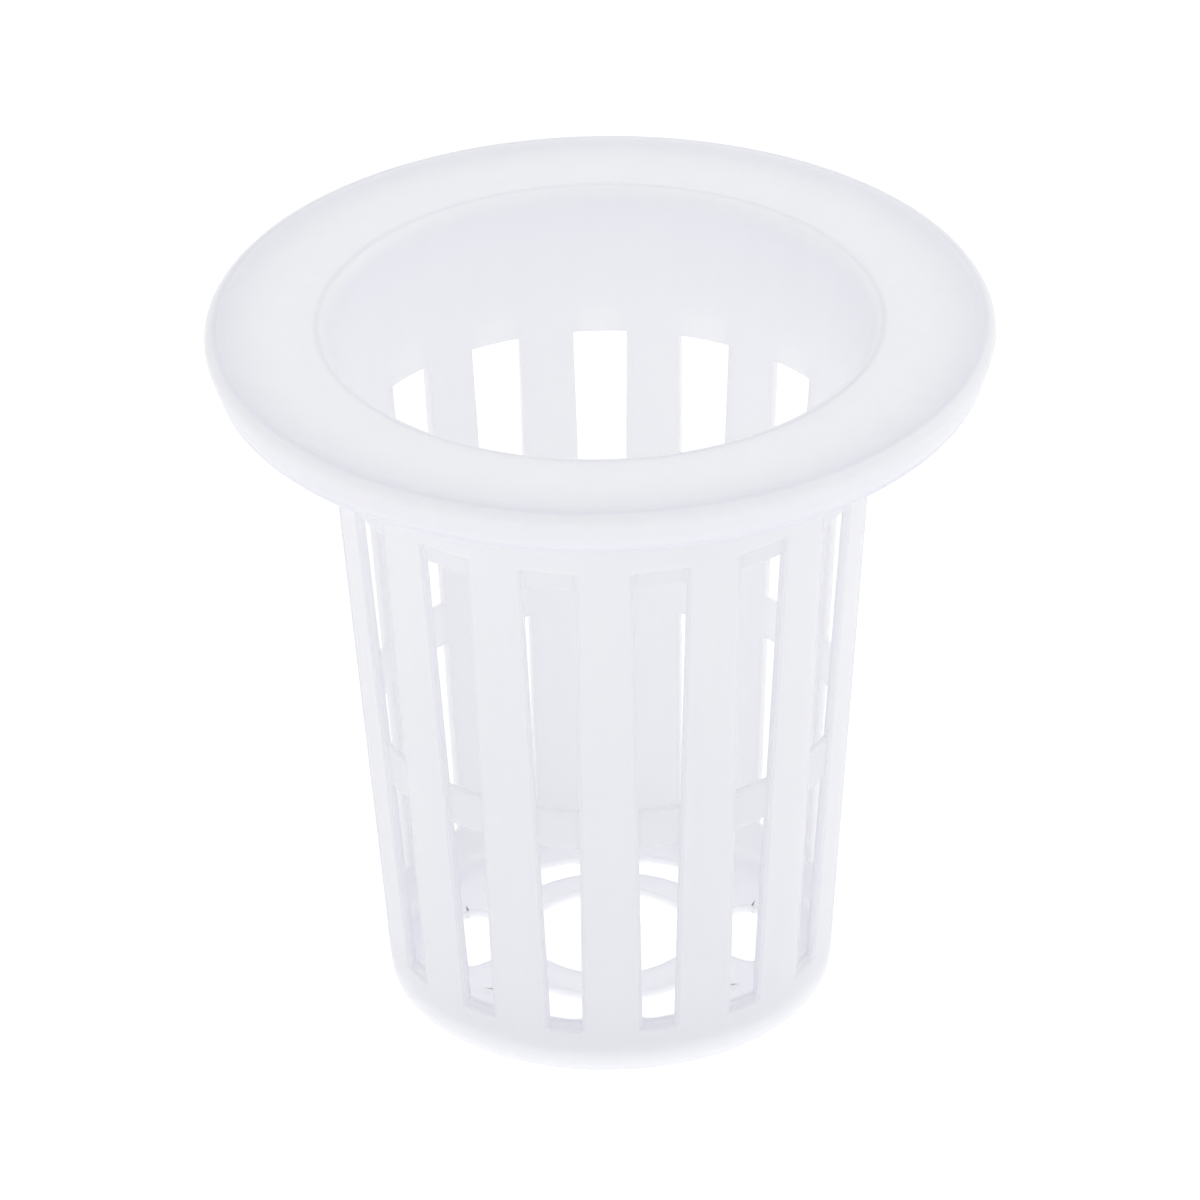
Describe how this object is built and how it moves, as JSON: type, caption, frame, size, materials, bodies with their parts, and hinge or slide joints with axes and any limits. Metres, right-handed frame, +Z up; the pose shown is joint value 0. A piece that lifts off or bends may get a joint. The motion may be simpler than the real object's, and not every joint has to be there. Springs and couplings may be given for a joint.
{
  "type": "hydroponic net pot",
  "caption": "Tapered round net pot with slotted wall, wide turned-down rim and open grid base, for growing plants in water.",
  "frame": {"origin": "centre of the foot, on the plane that the pot stands on", "axes": "+Z up along the axis of the cup, -Y through the middle of one rib"},
  "size_m": [0.065, 0.065, 0.0616],
  "materials": {
    "polypropylene": "satin"
  },
  "bodies": {
    "root": {"net_pot": "polypropylene"}
  },
  "joints": []
}
